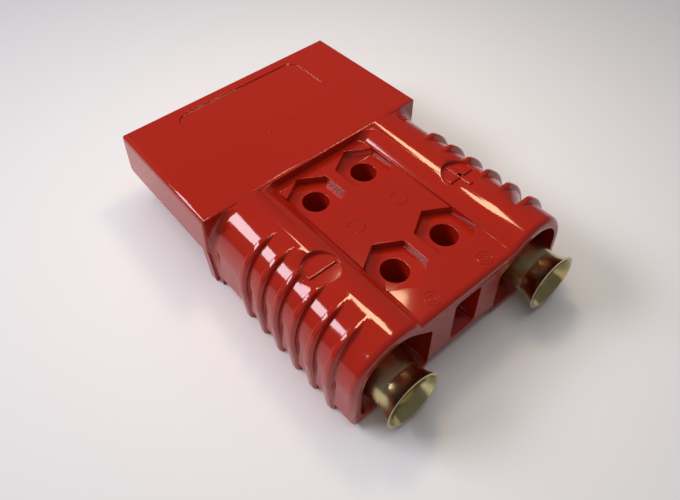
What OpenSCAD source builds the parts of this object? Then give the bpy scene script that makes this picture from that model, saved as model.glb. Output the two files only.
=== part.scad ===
// Two-pole genderless power connector: one moulded housing, two plated contacts, two contact springs.
// The mating end faces +Y and the cable end faces -Y. The housing rests on its underside at Z = 0.

/* [Housing] */
// Width across the mating hood
body_w = 68; // [62:1:80]
// Length of the mating hood
hood_len = 38.8; // [34:0.2:44]
// Overall length of the moulding
housing_len = 87.8; // [84:0.2:100]
// Height of the hood above the mating plane
upper_h = 11.8; // [11:0.1:14]
// Depth of the housing below the mating plane
lower_h = 11.2; // [10.8:0.1:14]
// Wall thickness of the moulding
wall = 2.4; // [1.8:0.1:2.8]
// Rounding of the hood's long upper edges
edge_r = 1.5; // [0.8:0.1:2]
// Rounding of the hood's front and rear edges
end_edge_r = 0.7; // [0.4:0.1:1]
// Rounding of the hood's lower front corners
hood_corner_r = 2; // [1:0.5:4]

/* [Mating end] */
// Clearance between a tongue and the hood of the mating half
mate_gap = 0.5; // [0.3:0.1:0.8]
// Distance the tongues stand back from the hood's front edge
tongue_setback = 2; // [1:0.5:4]
// Width of the gap between the two tongues
tongue_gap = 18; // [14:1:20]
// Width of the blade channel in a tongue
channel_w = 14.6; // [13.6:0.2:15.2]
// Depth of the blade channel below the mating plane
channel_depth = 6.6; // [6:0.1:7]
// Inward lean of the stop flange from its top to its foot
flange_lean = 1; // [0.5:0.1:1.5]

/* [Barrels] */
// Distance between the two barrel axes
barrel_pitch = 42.8; // [42:0.2:44]
// Radius of a barrel's arched top
barrel_r = 11; // [10.6:0.1:11.4]
// Drop of the barrel crests below the hood's top
crest_drop = 0.1; // [0:0.1:0.6]
// Rounding of a barrel's lower corners
lower_corner_r = 3.4; // [2:0.2:4]
// Rounding of the barrels at the cable end
cable_edge_r = 1.5; // [0.8:0.1:1.8]
// Drop of the web between the barrels below the hood's top
web_drop = 2.9; // [2.4:0.1:3.4]
// Blend radius where a barrel rises out of the web
web_fillet = 1.2; // [0.8:0.1:2]
// Blend radius where a barrel runs out of the hood
root_r = 2; // [1:0.1:2.5]

/* [Grip ribs] */
// Number of grip ribs on each side
rib_count = 6; // [3:1:6]
// Spacing of the grip ribs
rib_pitch = 5.8; // [5:0.1:6]
// Distance from the hood's front edge to the first rib
rib_first = 51.8; // [50:0.2:54]
// Thickness of a rib
rib_t = 2.9; // [2.4:0.1:3.4]
// Distance a rib stands out of the barrel's side
rib_h = 1.4; // [0.8:0.1:1.8]
// Inward lean of a rib from the mating plane to its foot
rib_lean = 1.2; // [0.8:0.1:1.3]
// Rounding of a rib's crest
rib_nose_r = 1.1; // [0.6:0.1:1.2]

/* [Mounting holes] */
// Diameter of the four mounting holes
hole_d = 6.5; // [5:0.1:6.6]
// Spacing of the holes across the housing
hole_pitch_x = 15.4; // [14.8:0.2:16]
// Spacing of the holes along the housing
hole_pitch_y = 26.5; // [24:0.5:28]
// Distance from the hood's front edge to the front pair of holes
hole_first = 47.2; // [46.4:0.2:49]
// Size across flats of the hexagonal nut pockets
hex_af = 12.4; // [11:0.1:12.8]
// Depth of the nut pockets
hex_depth = 2; // [1.5:0.1:2.4]

/* [Cable end] */
// Depth of the wide cable entries
entry_depth = 8.4; // [6:0.2:9]
// Thickness of the walls between the rear slot and the cable entries
entry_wall = 6.6; // [6:0.1:7]
// Height above the mating plane where an entry's near wall meets its slope
entry_shoulder = 3.5; // [2:0.1:4]
// Rounding of the cable entries' near corners
entry_corner_r = 1.2; // [0.6:0.1:2]
// Width of the rear slot for the auxiliary contacts
slot_w = 8; // [7:0.2:9]
// Depth of the wide part of the rear slot
slot_depth = 8.4; // [6:0.2:9]
// Width of the auxiliary channel that runs through the web
aux_w = 5.4; // [4.6:0.1:5.6]
// Height of the rear slot and the auxiliary channel
aux_h = 12.4; // [10:0.2:13]

/* [Contacts] */
// Outer radius of the wire barrel
tube_r = 6.3; // [6:0.1:6.5]
// Radius of the wire barrel's bore
bore_r = 5; // [4.6:0.1:5.2]
// Depth of the bore from the mouth
bore_depth = 26; // [22:1:30]
// Radius of the waist behind the flared mouth
waist_r = 5.8; // [5.6:0.1:5.9]
// Length of the taper from the wire barrel down to its waist
neck_len = 4; // [3:0.5:5]
// Length of the flare from the waist to the mouth
flare_len = 4; // [3:0.2:5]
// Thickness of the mouth's rim
rim_t = 0.7; // [0.5:0.1:0.9]
// Radius of the flared mouth
mouth_r = 7.2; // [6.8:0.1:7.6]
// Distance the mouth stands out of the housing
contact_out = 6.2; // [5:0.2:8]
// Sideways offset of each contact from its barrel axis
contact_shift = 0.5; // [0:0.1:0.6]
// Width of the contact blade
blade_w = 12.6; // [11:0.2:12.8]
// Thickness of the contact blade
blade_t = 3; // [2.4:0.1:3.2]
// Height of the latching lip under the blade's tip
lip_h = 1.2; // [0.8:0.1:1.4]
// Clearance between a piece and the seat that carries it
seat_gap = 0.2; // [0.1:0.05:0.3]

/* [Springs] */
// Width of the leaf spring
spring_w = 9; // [7:0.5:11]
// Thickness of the leaf spring
spring_t = 0.8; // [0.6:0.1:1]
// Length of the flat foot and of the flat head of the spring
spring_flat = 5; // [4:0.5:6]

/* [Moulded details] */
// Length of the shallow label panel on the hood
panel_l = 40; // [30:1:44]
// Width of the label panel
panel_w = 17; // [12:0.5:20]
// Distance from the hood's front edge to the middle of the label panel
panel_y = 11.8; // [11:0.2:16]
// Corner rounding of the label panel
panel_r = 3.5; // [2:0.5:5]
// Depth of the label panel
panel_depth = 0.3; // [0.2:0.1:0.5]
// Diameter of the round polarity recess on each barrel
mark_d = 9; // [7:0.2:9.4]
// Distance from the hood's front edge to the polarity recesses
mark_y = 65.5; // [60:0.5:70]
// Depth of the polarity recesses
mark_depth = 1.2; // [1:0.1:1.4]

/* [Hidden] */
$fn = 64;
// Overlap that keeps cuts and joins clean
lap = 1;
front_y = (housing_len + contact_out) / 2;
hole_mid_y = hole_first + hole_pitch_y / 2;
barrel_x = barrel_pitch / 2;
crest_z = upper_h - crest_drop;
barrel_z = crest_z - barrel_r;
web_z = upper_h - web_drop;
// Contact chambers: two overlapping circles, one above the other
chamber_r = barrel_r - wall;
chamber_low_z = wall - lower_h + chamber_r;
bulkhead_y = hood_len - wall;
chamber_y = hood_len + wall;
// Contacts: the tube rests in the chamber's floor and the blade's top is the mating plane
contact_x = barrel_x + contact_shift;
tube_z = chamber_low_z - sqrt(pow(chamber_r - tube_r - seat_gap, 2) - pow(contact_shift, 2));
mouth_y = housing_len + contact_out;
root_y = mouth_y - bore_depth - wall;
tongue_out_x = body_w / 2 - wall - mate_gap;
tongue_front = tongue_setback + wall;
blade_tip = tongue_front + seat_gap;

// Outline with its own rounding at each corner: lower left, lower right, upper right, upper left
module rounded(low, high, r) {
    difference() {
        translate(low) square(high - low);
        corner_waste(low, 0, r[0]);
        corner_waste([high[0], low[1]], 90, r[1]);
        corner_waste(high, 180, r[2]);
        corner_waste([low[0], high[1]], 270, r[3]);
    }
}

module corner_waste(at, turn, r) {
    if (r > 0) translate(at) rotate(turn) difference() {
        translate([-lap, -lap]) square(r + lap);
        translate([r, r]) circle(r);
    }
}

// Runs an X-Z outline back along the housing, from one distance behind the front edge to another
module along(from, to) {
    translate([0, -from, 0]) rotate([90, 0, 0]) linear_extrude(to - from) children();
}

// Runs a side outline, drawn as distance behind the front edge and height, across the housing
module across(x0, x1) {
    translate([x1, 0, 0]) rotate([0, 0, -90]) rotate([90, 0, 0]) linear_extrude(x1 - x0) children();
}

// Turns an outline, drawn as radius and distance behind the front edge, about an axis along the housing
module turned(x, z) {
    translate([x, 0, z]) rotate([90, 0, 0]) rotate_extrude() children();
}

module both_sides() {
    children();
    mirror([1, 0, 0]) children();
}

module in_place() {
    translate([0, front_y, lower_h]) children();
}

// Hood over the mating bay, with the panel-side edges rounded
module hood() {
    half_w = body_w / 2;
    intersection() {
        along(0, hood_len) rounded([-half_w, 0], [half_w, upper_h], [0, 0, edge_r, edge_r]);
        across(-half_w, half_w)
            rounded([0, 0], [hood_len, upper_h], [hood_corner_r, 0, end_edge_r, end_edge_r]);
        linear_extrude(upper_h)
            rounded([-half_w, -hood_len], [half_w, 0], [1, 1, 1, 1] * end_edge_r);
    }
}

module mating_bay() {
    bay_x = body_w / 2 - wall;
    along(-lap, bulkhead_y) translate([-bay_x, -lap]) square([2 * bay_x, upper_h - wall + lap]);
}

// Stop flange below the mating plane, which the mating half's hood meets
module flange() {
    half_w = body_w / 2;
    foot_w = half_w - flange_lean;
    along(bulkhead_y, hood_len)
        polygon([[-half_w, 0], [-foot_w, -lower_h], [foot_w, -lower_h], [half_w, 0]]);
}

// Tongues that carry the blades into the mating half
module tongue() {
    floor_z = wall + mate_gap - upper_h;
    intersection() {
        along(tongue_setback, hood_len)
            rounded([tongue_gap / 2, floor_z], [tongue_out_x, -seat_gap], [1, 1, 0, 0]);
        across(0, body_w) rounded([tongue_setback, floor_z], [hood_len, 0], [1, 0, 0, 0]);
    }
}

// Blade channel, open on the mating plane and through the bulkhead into the chamber
module blade_channel() {
    left_x = contact_x - channel_w / 2;
    along(tongue_front, hood_len) translate([left_x, -channel_depth]) square([channel_w, channel_depth]);
    along(bulkhead_y - lap, chamber_y + lap)
        translate([left_x, -channel_depth]) square([channel_w, channel_depth + 2 * seat_gap]);
}

// Flat web that holds the barrels together
module web() {
    across(-barrel_x, barrel_x)
        rounded([bulkhead_y, -web_z], [housing_len, web_z], [0, 1, 1, 0] * cable_edge_r);
}

// Barrel: arched above, square with rounded corners below
module barrel() {
    turned(barrel_x, barrel_z)
        rounded([0, bulkhead_y], [barrel_r, housing_len], [0, 0, cable_edge_r, 0]);
    inner_x = barrel_x - barrel_r;
    outer_x = barrel_x + barrel_r;
    intersection() {
        along(bulkhead_y, housing_len)
            rounded([inner_x, -lower_h], [outer_x, barrel_z], [lower_corner_r, lower_corner_r, 0, 0]);
        across(inner_x, outer_x)
            rounded([bulkhead_y, -lower_h], [housing_len, barrel_z], [0, cable_edge_r, 0, 0]);
        translate([0, 0, -lower_h]) linear_extrude(lower_h + barrel_z)
            rounded([inner_x, -housing_len], [outer_x, -bulkhead_y], [0, cable_edge_r, 0, 0]);
    }
}

// Concave blend between the web and a barrel's flank
module web_blend() {
    rise = web_z + web_fillet - barrel_z;
    centre = [barrel_x - sqrt(pow(barrel_r + web_fillet, 2) - rise * rise), web_z + web_fillet];
    along(hood_len - end_edge_r, housing_len - cable_edge_r) difference() {
        polygon([[centre[0], barrel_z], [centre[0], centre[1]], [barrel_x, barrel_z]]);
        translate(centre) circle(web_fillet);
    }
}

// Concave blend where a barrel runs out of the hood's rear face and the stop flange
module root_blend() {
    reach = barrel_r + root_r;
    half_w = body_w / 2 - end_edge_r;
    top_z = upper_h - end_edge_r;
    intersection() {
        union() {
            turned(barrel_x, barrel_z) root_fillet();
            translate([barrel_x, 0, -lower_h]) mirror([0, 1, 0])
                linear_extrude(lower_h + barrel_z) root_fillet();
        }
        along(hood_len - lap, hood_len + root_r) polygon([[0, barrel_z], [0, top_z], [half_w, top_z],
            [half_w, 0], [half_w - flange_lean, -lower_h], [barrel_x, -lower_h], [barrel_x, barrel_z]]);
    }
}

module root_fillet() {
    difference() {
        translate([barrel_r - lap, hood_len - lap]) square(root_r + lap);
        translate([barrel_r + root_r, hood_len + root_r]) circle(root_r);
    }
}

// One grip rib: an arc over the barrel's shoulder that runs on into a strip leaning in to its foot
module rib(y) {
    rib_r = barrel_r + rib_h;
    hub_z = crest_z - rib_r;
    drop = lower_h + hub_z;
    lean = atan(rib_lean / drop);
    intersection() {
        turned(barrel_x, hub_z)
            rounded([0, y - rib_t / 2], [rib_r, y + rib_t / 2], [0, 1, 1, 0] * rib_nose_r);
        rib_side(y, hub_z, lean, 0) cube([4 * rib_r, 2 * rib_t, 2 * rib_r]);
        rib_side(y, hub_z, 0, 2 * rib_r) cube([2 * rib_r, 2 * rib_t, 4 * rib_r]);
    }
    intersection() {
        translate([barrel_x, -y, hub_z]) rotate([0, lean, 0]) translate([0, 0, -2 * drop])
            linear_extrude(2 * drop)
                rounded([0, -rib_t / 2], [rib_r, rib_t / 2], [0, 1, 1, 0] * rib_nose_r);
        translate([barrel_x, -y - rib_t, -lower_h]) cube([2 * rib_r, 2 * rib_t, 2 * drop]);
    }
}

// Places a block on a rib's hub: leant blocks reach both ways from it, upright ones start at it
module rib_side(y, hub_z, lean, below) {
    translate([barrel_x, -y - rib_t, hub_z]) rotate([0, lean, 0])
        translate([lean > 0 ? -2 * barrel_r : 0, 0, -below]) children();
}

// Contact chamber, long and round, with a wide entry at the cable end
module chamber() {
    along(chamber_y, housing_len + lap) {
        translate([barrel_x, barrel_z]) circle(chamber_r);
        translate([barrel_x, chamber_low_z]) circle(chamber_r);
        translate([barrel_x - chamber_r, chamber_low_z]) square([2 * chamber_r, barrel_z - chamber_low_z]);
    }
    along(housing_len - entry_depth, housing_len + lap) cable_entry();
}

// Entry outline: upright near wall, then a slope that meets the chamber's arch under the barrel's flank
module cable_entry() {
    near = [slot_w / 2 + entry_wall, entry_shoulder];
    floor_z = wall - lower_h;
    to_hub = [barrel_x, barrel_z] - near;
    slope = atan(to_hub[1] / to_hub[0]) + asin(chamber_r / norm(to_hub));
    meet = near + [cos(slope), sin(slope)] * sqrt(norm(to_hub) * norm(to_hub) - chamber_r * chamber_r);
    tangent = entry_corner_r * (1 - sin(slope)) / cos(slope);
    polygon([[near[0], floor_z + entry_corner_r], [near[0] + entry_corner_r, floor_z],
             [barrel_x, floor_z], [barrel_x, barrel_z], meet,
             near + [cos(slope), sin(slope)] * tangent, near - [0, tangent]]);
    translate(near + [entry_corner_r, -tangent]) circle(entry_corner_r);
    translate([near[0], floor_z] + [1, 1] * entry_corner_r) circle(entry_corner_r);
    rounded([barrel_x - lap, floor_z], [barrel_x + chamber_r, barrel_z], [0, lower_corner_r - lap, 0, 0]);
}

// Slot for the auxiliary contacts at the cable end, and their channel through to the mating end
module auxiliary_channel() {
    along(housing_len - slot_depth, housing_len + lap)
        rounded(-[slot_w, aux_h] / 2, [slot_w, aux_h] / 2, [1, 1, 1, 1] * entry_corner_r);
    along(bulkhead_y - lap, housing_len) square([aux_w, aux_h], center = true);
}

// Mounting holes with a hexagonal nut pocket at each end
module mounting_holes() {
    for (side = [-1, 1], row = [0, 1]) {
        translate([side * hole_pitch_x / 2, -hole_first - row * hole_pitch_y, 0]) {
            cylinder(h = 4 * upper_h, d = hole_d, center = true);
            for (face = [0, 1]) mirror([0, 0, face]) translate([0, 0, web_z - hex_depth])
                rotate(30) cylinder(h = upper_h, d = hex_af / cos(30), $fn = 6);
        }
    }
}

module label_panel() {
    low = [-panel_l / 2, -panel_y - panel_w / 2];
    high = [panel_l / 2, -panel_y + panel_w / 2];
    translate([0, 0, upper_h - panel_depth]) linear_extrude(lap) rounded(low, high, [1, 1, 1, 1] * panel_r);
}

module polarity_recess() {
    translate([barrel_x, -mark_y, crest_z - mark_depth]) cylinder(h = upper_h, d = mark_d);
}

module housing() {
    color("firebrick") in_place() difference() {
        union() {
            difference() {
                hood();
                mating_bay();
            }
            flange();
            web();
            both_sides() {
                tongue();
                barrel();
                web_blend();
                root_blend();
                for (i = [0 : rib_count - 1]) rib(rib_first + i * rib_pitch);
            }
        }
        both_sides() {
            blade_channel();
            chamber();
            polarity_recess();
        }
        auxiliary_channel();
        mounting_holes();
        label_panel();
    }
}

// Wire barrel with a waist and a flared mouth, solid where the blade grows out of it
module wire_barrel() {
    waist_y = mouth_y - flare_len;
    neck_r = arc_r(neck_len, tube_r - waist_r);
    flare_r = arc_r(flare_len, mouth_r - waist_r);
    bell_r = arc_r(flare_len, mouth_r - rim_t - bore_r);
    turned(contact_x, tube_z) difference() {
        union() {
            translate([0, root_y]) square([tube_r, waist_y - root_y]);
            translate([0, waist_y]) square([mouth_r, flare_len]);
        }
        intersection() {
            translate([waist_r + neck_r, waist_y]) circle(neck_r, $fn = 128);
            translate([0, waist_y - neck_len]) square([mouth_r + lap, neck_len]);
        }
        intersection() {
            translate([waist_r + flare_r, waist_y]) circle(flare_r, $fn = 128);
            translate([0, waist_y]) square([mouth_r + lap, flare_len + lap]);
        }
        translate([0, mouth_y - bore_depth]) square([bore_r, bore_depth + lap]);
        difference() {
            translate([0, waist_y]) square([mouth_r - rim_t, flare_len + lap]);
            translate([bore_r + bell_r, waist_y]) circle(bell_r, $fn = 128);
        }
    }
}

// Radius of an arc that starts level and rises by one amount over a given length
function arc_r(length, rise) = (length * length + rise * rise) / (2 * rise);

// Blade with a latching lip, which thickens into the wire barrel
module blade() {
    neck_y = root_y - neck_len * 2;
    top_z = tube_z + tube_r;
    low_z = tube_z - tube_r;
    intersection() {
        across(contact_x - blade_w / 2, contact_x + blade_w / 2) polygon([
            [blade_tip, 0], [neck_y, 0], [root_y, top_z], [root_y + wall / 2, top_z],
            [root_y + wall / 2, low_z], [root_y, low_z], [neck_y, -blade_t],
            [blade_tip + lip_h, -blade_t], [blade_tip + lip_h, -blade_t - lip_h],
            [blade_tip, -blade_t - lip_h]]);
        turned(contact_x, tube_z) polygon([[0, 0], [blade_w, 0], [tube_r + 0.6, neck_y], [tube_r, root_y],
            [tube_r, root_y + wall], [0, root_y + wall]]);
    }
}

module contact() {
    wire_barrel();
    blade();
}

module contact_positive() {
    color("darkkhaki") in_place() contact();
}

module contact_negative() {
    color("darkkhaki") in_place() mirror([1, 0, 0]) contact();
}

// Leaf spring: a flat foot on the channel floor, a double-curved rise and a flat head under the blade
module leaf_spring() {
    head_y = blade_tip + lip_h + seat_gap;
    low_z = -channel_depth;
    high_z = -blade_t - seat_gap - spring_t;
    rise = high_z - low_z;
    run = bulkhead_y - head_y - 2 * spring_flat;
    bend_r = (run * run + rise * rise) / (4 * rise);
    ramp_y = head_y + spring_flat;
    mid_y = ramp_y + run / 2;
    foot_y = ramp_y + run;
    across(contact_x - spring_w / 2, contact_x + spring_w / 2) {
        translate([head_y, high_z]) square([spring_flat, spring_t]);
        intersection() {
            translate([ramp_y, high_z + spring_t - bend_r]) difference() {
                circle(bend_r, $fn = 256);
                circle(bend_r - spring_t, $fn = 256);
            }
            translate([ramp_y, low_z]) square([run / 2, rise + spring_t]);
        }
        intersection() {
            translate([foot_y, low_z + bend_r]) difference() {
                circle(bend_r, $fn = 256);
                circle(bend_r - spring_t, $fn = 256);
            }
            translate([mid_y, low_z]) square([run / 2, rise + spring_t]);
        }
        translate([foot_y, low_z]) square([spring_flat, spring_t]);
    }
}

module spring_positive() {
    color("silver") in_place() leaf_spring();
}

module spring_negative() {
    color("silver") in_place() mirror([1, 0, 0]) leaf_spring();
}

housing();
contact_positive();
contact_negative();
spring_positive();
spring_negative();
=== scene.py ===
import bmesh
import bpy
import math
from mathutils import Matrix, Vector


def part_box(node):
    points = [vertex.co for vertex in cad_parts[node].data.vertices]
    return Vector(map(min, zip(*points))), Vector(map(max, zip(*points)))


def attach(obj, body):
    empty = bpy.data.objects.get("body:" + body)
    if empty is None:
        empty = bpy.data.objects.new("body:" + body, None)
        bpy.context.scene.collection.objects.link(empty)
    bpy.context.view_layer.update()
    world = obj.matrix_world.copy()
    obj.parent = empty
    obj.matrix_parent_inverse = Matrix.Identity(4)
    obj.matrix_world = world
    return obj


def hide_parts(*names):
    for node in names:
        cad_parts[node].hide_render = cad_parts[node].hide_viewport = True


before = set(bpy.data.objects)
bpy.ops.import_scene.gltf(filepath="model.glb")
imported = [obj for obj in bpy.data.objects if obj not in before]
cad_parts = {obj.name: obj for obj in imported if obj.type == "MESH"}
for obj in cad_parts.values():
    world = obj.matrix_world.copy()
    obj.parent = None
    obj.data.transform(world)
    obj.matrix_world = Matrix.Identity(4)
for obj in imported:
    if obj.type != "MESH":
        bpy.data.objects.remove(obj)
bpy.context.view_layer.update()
MM = 0.001

# Real sizes behind the patterns. The turning and rolling lines are drawn coarser, so that they show
EDGE_BREAK = 0.3 * MM
ORANGE_PEEL = 3 * MM
FLOW_MARK = 25 * MM
TURNING_LINE = 0.35 * MM
TARNISH_PATCH = 4 * MM
PAPER_TOOTH = 0.5 * MM

# Places on the housing, measured from its front edge, its top and its middle
FRONT_Y = Vector(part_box("housing")[1]).y
TOP_Z = Vector(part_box("housing")[1]).z
CREST_Z = TOP_Z - 0.1 * MM
WEB_Z = TOP_Z - 2.9 * MM
BARREL_X = 21.4 * MM
BARREL_R = 11 * MM
BARREL_Z = CREST_Z - BARREL_R
MARK_Y = FRONT_Y - 65.5 * MM
MARK_FLOOR_Z = CREST_Z - 1.2 * MM

# Grip ribs: how the solid has them, and how far they rise on the shoulder here
RIB_R = 12.4 * MM
RIB_T = 2.9 * MM
RIB_RISE = 1.3 * MM
RIB_FIRST = 51.8 * MM
RIB_PITCH = 5.8 * MM
RIB_COUNT = 6
RIB_YS = [FRONT_Y - RIB_FIRST - RIB_PITCH * i for i in range(RIB_COUNT)]

# Edges that turn more than this stay sharp, and faces that turn less than the other are one flat face
SHARP_TURN = math.radians(30)
FLAT_TURN = math.radians(0.3)


def srgb(code):
    """Linear colour from an sRGB hex code."""
    parts = [int(code[i:i + 2], 16) / 255 for i in (1, 3, 5)]
    return [c / 12.92 if c <= 0.04045 else ((c + 0.055) / 1.055) ** 2.4 for c in parts] + [1.0]


def add(tree, kind, settings=None, **inputs):
    """Adds a shader node. An input is named by its socket, or i and its number, and takes a value or
    another node's output."""
    node = tree.nodes.new("ShaderNode" + kind)
    for name, value in (settings or {}).items():
        setattr(node, name, value)
    for name, value in inputs.items():
        key = int(name[1:]) if name[0] == "i" and name[1:].isdigit() else name.replace("_", " ")
        if isinstance(value, bpy.types.NodeSocket):
            tree.links.new(value, node.inputs[key])
        else:
            node.inputs[key].default_value = value
    return node


def new_material(name):
    """An empty material and its node tree."""
    material = bpy.data.materials.new(name)
    material.use_nodes = True
    tree = material.node_tree
    tree.nodes.clear()
    return material, tree


def finish_material(tree, shader):
    """Links the shader to the surface."""
    out = add(tree, "OutputMaterial")
    tree.links.new(shader.outputs[0], out.inputs["Surface"])


def moulded_polycarbonate():
    """Injection-moulded red polycarbonate: high gloss, with a faint orange-peel ripple from the mould.
    The gloss gives crisp lamp reflections, and the broken edges catch thin lines of light."""
    material, tree = new_material("moulded_red_polycarbonate")
    place = add(tree, "TexCoord").outputs["Object"]
    edge = add(tree, "Bevel", {"samples": 6}, Radius=EDGE_BREAK).outputs[0]
    ripple = add(tree, "TexNoise", Vector=place, Scale=1 / ORANGE_PEEL, Detail=2.0)
    relief = add(tree, "Bump", Strength=0.05, Distance=0.05 * MM, Height=ripple.outputs[0], Normal=edge)
    flow = add(tree, "TexNoise", Vector=place, Scale=1 / FLOW_MARK, Detail=1.0)
    tint = add(tree, "Mix", {"data_type": "RGBA"}, Factor=flow.outputs[0],
               i6=srgb("#A81E0C"), i7=srgb("#AE200D"))
    body = add(tree, "BsdfPrincipled", Base_Color=tint.outputs[2], Roughness=0.08, IOR=1.58,
               Normal=relief.outputs[0])
    finish_material(tree, body)
    return material


def plated_copper():
    """Turned copper with a bright plating that has yellowed: gold where the lamps strike, olive and
    brown in between, with fine turning lines round the barrel."""
    material, tree = new_material("yellowed_plated_copper")
    place = add(tree, "TexCoord").outputs["Object"]
    along = add(tree, "SeparateXYZ", Vector=place).outputs["Y"]
    lines = add(tree, "CombineXYZ", Y=along)
    turned = add(tree, "TexNoise", Vector=lines.outputs[0], Scale=1 / TURNING_LINE, Detail=3.0)
    relief = add(tree, "Bump", Strength=0.35, Distance=0.03 * MM, Height=turned.outputs[0])
    patches = add(tree, "TexNoise", Vector=place, Scale=1 / TARNISH_PATCH, Detail=3.0)
    tint = add(tree, "Mix", {"data_type": "RGBA"}, Factor=patches.outputs[0],
               i6=srgb("#B09A56"), i7=srgb("#DAD2AE"))
    gloss = add(tree, "MapRange", Value=patches.outputs[0], To_Min=0.16, To_Max=0.28)
    body = add(tree, "BsdfPrincipled", Base_Color=tint.outputs[2], Metallic=1.0,
               Roughness=gloss.outputs[0], Normal=relief.outputs[0])
    finish_material(tree, body)
    return material


def rolled_stainless():
    """Cold-rolled stainless strip: a grey satin sheen with fine rolling lines along the leaf."""
    material, tree = new_material("rolled_stainless_strip")
    place = add(tree, "TexCoord").outputs["Object"]
    across = add(tree, "SeparateXYZ", Vector=place).outputs["X"]
    lines = add(tree, "CombineXYZ", X=across)
    grain = add(tree, "TexNoise", Vector=lines.outputs[0], Scale=1 / TURNING_LINE, Detail=3.0)
    relief = add(tree, "Bump", Strength=0.3, Distance=0.02 * MM, Height=grain.outputs[0])
    body = add(tree, "BsdfPrincipled", Base_Color=srgb("#B8B8BC"), Metallic=1.0, Roughness=0.3,
               Normal=relief.outputs[0])
    finish_material(tree, body)
    return material


def floor_paper():
    """Matt pale paper under the part, with a faint tooth. Its colour carries a painted pool of light: near
    white by the part, falling off to grey away from it.
    """
    material, tree = new_material("matt_paper_painted_light_pool")
    place = add(tree, "TexCoord").outputs["Object"]
    # Painted light: the paper's colour goes from near white close to the part to grey further out, a painted
    # pool of light and its falloff
    away = add(tree, "VectorMath", {"operation": "LENGTH"}, i0=place).outputs["Value"]
    painted_light_falloff = add(tree, "MapRange", Value=away, From_Min=0.06, From_Max=0.22)
    tint = add(tree, "Mix", {"data_type": "RGBA"}, Factor=painted_light_falloff.outputs[0],
               i6=srgb("#F4F3F3"), i7=srgb("#C2C2C4"))
    tooth = add(tree, "TexNoise", Vector=place, Scale=1 / PAPER_TOOTH, Detail=2.0)
    relief = add(tree, "Bump", Strength=0.1, Distance=0.02 * MM, Height=tooth.outputs[0])
    body = add(tree, "BsdfPrincipled", Base_Color=tint.outputs[2], Roughness=0.9,
               Normal=relief.outputs[0])
    finish_material(tree, body)
    return material


RED = moulded_polycarbonate()
PLATED = plated_copper()
STAINLESS = rolled_stainless()


def smooth(mesh):
    """Shades the mesh round."""
    for face in mesh.polygons:
        face.use_smooth = True


def dress(node, material):
    """Gives a carried-over node its finish."""
    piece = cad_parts[node]
    piece.data.materials.clear()
    piece.data.materials.append(material)
    smooth(piece.data)


def moulded_piece(name, work):
    """Turns a worked mesh into a piece of red moulding that rides on the body."""
    mesh = bpy.data.meshes.new(name)
    work.to_mesh(mesh)
    work.free()
    mesh.materials.append(RED)
    piece = bpy.data.objects.new(name, mesh)
    bpy.context.scene.collection.objects.link(piece)
    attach(piece, "root")
    return piece


def raise_rib_shoulders(work):
    """Brings the grip ribs out over the barrels' shoulders: level with the crest, then round."""
    near = 0.01 * MM
    proud = 0.004 * MM
    least_cosine = 0.1
    drop = RIB_R - BARREL_R
    for vert in work.verts:
        x, z = abs(vert.co.x) - BARREL_X, vert.co.z - BARREL_Z
        reach = math.hypot(x, z)
        on_rib = any(abs(vert.co.y - y) < RIB_T / 2 + near for y in RIB_YS)
        if not on_rib or x <= 0 or z <= 0 or reach < BARREL_R + proud:
            continue
        tilt = math.atan2(x, z)
        crest = math.sqrt(RIB_R ** 2 - (drop * math.sin(tilt)) ** 2) - drop * math.cos(tilt) - BARREL_R
        level = BARREL_R / max(math.cos(tilt), least_cosine) - BARREL_R
        wanted = max(crest, min(level, RIB_RISE))
        reach = BARREL_R + min((reach - BARREL_R) / crest, 1.0) * wanted
        vert.co.x = math.copysign(BARREL_X + reach * math.sin(tilt), vert.co.x)
        vert.co.z = BARREL_Z + reach * math.cos(tilt)


def keep_flats_flat(piece):
    """Curved faces shade round, flat faces stay flat, and sharp edges stay sharp."""
    smooth(piece.data)
    piece.data.set_sharp_from_angle(angle=SHARP_TURN)
    weigh = piece.modifiers.new("flat_faces", "WEIGHTED_NORMAL")
    weigh.keep_sharp = True
    weigh.weight = 100


def housing_moulding():
    """The housing with its flat faces joined up and its ribs brought out over the shoulders."""
    weld = 0.002 * MM
    work = bmesh.new()
    work.from_mesh(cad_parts["housing"].data)
    bmesh.ops.remove_doubles(work, verts=work.verts, dist=weld)
    bmesh.ops.dissolve_limit(work, angle_limit=FLAT_TURN, use_dissolve_boundaries=False,
                             verts=work.verts, edges=work.edges)
    raise_rib_shoulders(work)
    piece = moulded_piece("housing_moulding", work)
    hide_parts("housing")
    keep_flats_flat(piece)


def raised_bar(work, centre, size, turn):
    """Bar with softened upper edges, standing on the floor of a recess."""
    soften = 0.22 * MM
    made = bmesh.ops.create_cube(work, size=1.0)["verts"]
    place = Matrix.Translation(centre) @ Matrix.Rotation(turn, 4, "Z") @ Matrix.Diagonal((*size, 1.0))
    bmesh.ops.transform(work, matrix=place, verts=made)
    edges = {e for v in made for e in v.link_edges if all(p.co.z > centre.z for p in e.verts)}
    bmesh.ops.bevel(work, geom=list(edges), offset=soften, segments=3, profile=0.5, affect="EDGES")


def polarity_sign(name, x, turns):
    """Plus or minus sign, one bar for each turn, in the floor of a barrel's round recess."""
    work = bmesh.new()
    length, width, height = 7.4 * MM, 1.3 * MM, 0.5 * MM
    sunk = 0.1
    centre = Vector((x, MARK_Y, MARK_FLOOR_Z + height * (0.5 - sunk)))
    for turn in turns:
        raised_bar(work, centre, (length, width, height), turn)
    moulded_piece(name, work)


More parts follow.
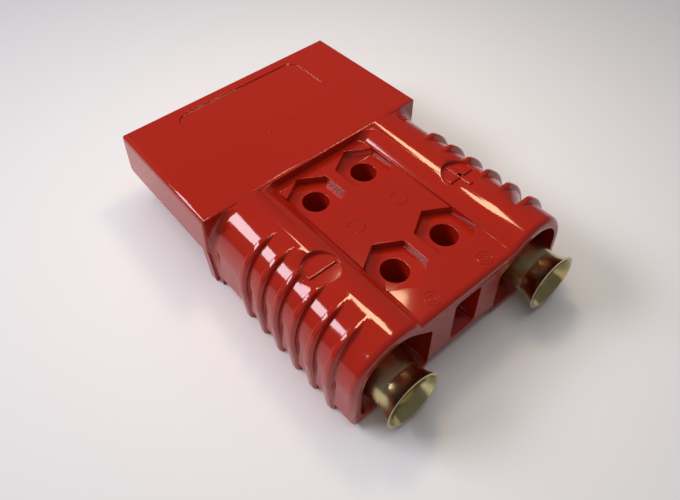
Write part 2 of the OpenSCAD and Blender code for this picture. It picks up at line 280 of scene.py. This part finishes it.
def ring(name, centre, radius, width, height):
    """Low raised ring, as an ejector pin or a gate leaves on a moulding. Half of it is sunk."""
    work = bmesh.new()
    steps, rounds = 48, 8
    rows = []
    for i in range(steps):
        a = 2 * math.pi * i / steps
        row = []
        for j in range(rounds):
            b = 2 * math.pi * j / rounds
            r = radius + width / 2 * math.cos(b)
            out = (centre[0] + r * math.cos(a), centre[1] + r * math.sin(a), centre[2] + height * math.sin(b))
            row.append(work.verts.new(out))
        rows.append(row)
    for i in range(steps):
        here, ahead = rows[i], rows[(i + 1) % steps]
        for j in range(rounds):
            k = (j + 1) % rounds
            work.faces.new((here[j], ahead[j], ahead[k], here[k]))
    smooth(moulded_piece(name, work).data)


def ejector_rings():
    """Marks of the ejector pins on the web between the barrels."""
    rear_y = FRONT_Y - 84.5 * MM
    middle_y = FRONT_Y - 60.4 * MM
    for side, name in ((-1, "left"), (1, "right")):
        rear = (side * 8 * MM, rear_y, WEB_Z)
        middle = (side * 6.6 * MM, middle_y, WEB_Z)
        ring("ejector_ring_" + name, rear, radius=1.7 * MM, width=0.25 * MM, height=0.06 * MM)
        ring("ejector_core_" + name, rear, radius=0.8 * MM, width=0.2 * MM, height=0.05 * MM)
        ring("middle_ring_" + name, middle, radius=1.9 * MM, width=0.2 * MM, height=0.04 * MM)


def hood_gate_marks():
    """Two small raised rings on the hood, behind the label panel."""
    sunk_z = TOP_Z - 0.02 * MM
    left = (-3.6 * MM, FRONT_Y - 24.1 * MM, sunk_z)
    right = (3.9 * MM, FRONT_Y - 24.0 * MM, sunk_z)
    for name, centre in (("left", left), ("right", right)):
        ring("gate_mark_" + name, centre, radius=0.5 * MM, width=0.35 * MM, height=0.07 * MM)


def floor():
    """Sheet of paper that the part lies on."""
    mesh = bpy.data.meshes.new("floor")
    half = 2.0
    corners = [(-half, -half, 0), (half, -half, 0), (half, half, 0), (-half, half, 0)]
    mesh.from_pydata(corners, [], [(0, 1, 2, 3)])
    mesh.materials.append(floor_paper())
    plane = bpy.data.objects.new("floor", mesh)
    bpy.context.scene.collection.objects.link(plane)


def softbox(name, azimuth, elevation, distance, size, power, colour):
    """Area light aimed at the part. The azimuth runs from +Y towards +X, and sizes are in metres."""
    a, e = math.radians(azimuth), math.radians(elevation)
    way = Vector((math.sin(a) * math.cos(e), math.cos(a) * math.cos(e), math.sin(e)))
    light = bpy.data.lights.new(name, "AREA")
    light.shape = "RECTANGLE"
    light.size, light.size_y = size
    light.energy = power
    light.color = srgb(colour)[:3]
    lamp = bpy.data.objects.new(name, light)
    lamp.location = way * distance
    lamp.rotation_euler = way.to_track_quat("Z", "Y").to_euler()
    bpy.context.scene.collection.objects.link(lamp)
    return lamp


def studio():
    """A dim pale room, a small warm lamp, a cool window and a wide overhead that gives no reflection."""
    world = bpy.data.worlds.new("studio")
    world.use_nodes = True
    room = world.node_tree.nodes["Background"]
    room.inputs["Color"].default_value = srgb("#E8E8E8")
    room.inputs["Strength"].default_value = 0.18
    bpy.context.scene.world = world
    softbox("ceiling_lamp", azimuth=54, elevation=71, distance=0.178, size=(0.032, 0.036),
            power=0.055, colour="#FFDDB1")
    softbox("window", azimuth=-46, elevation=40, distance=0.6, size=(0.34, 0.17),
            power=2.0, colour="#F8F6FF")
    overhead = softbox("overhead", azimuth=10, elevation=82, distance=0.9, size=(0.9, 0.9),
                       power=3.4, colour="#FFFFFF")
    overhead.visible_glossy = False


def camera():
    """Looks down on the part from behind its left barrel."""
    lens = bpy.data.cameras.new("camera")
    lens.lens = 35.09
    lens.sensor_width = 36.0
    lens.shift_x = 0.0810
    lens.shift_y = -0.1457
    eye = bpy.data.objects.new("camera", lens)
    eye.location = Vector((-75.55, -84.80, 134.32)) * MM
    eye.rotation_euler = [math.radians(v) for v in (47.450, 2.801, -37.831)]
    bpy.context.scene.collection.objects.link(eye)
    bpy.context.scene.camera = eye


housing_moulding()
hood_gate_marks()
polarity_sign("minus_sign", -BARREL_X, [0.0])
polarity_sign("plus_sign", BARREL_X, [0.0, math.pi / 2])
ejector_rings()
for pole in ("positive", "negative"):
    dress("contact_" + pole, PLATED)
    dress("spring_" + pole, STAINLESS)
floor()
studio()
camera()
bpy.context.scene.view_settings.view_transform = "Standard"
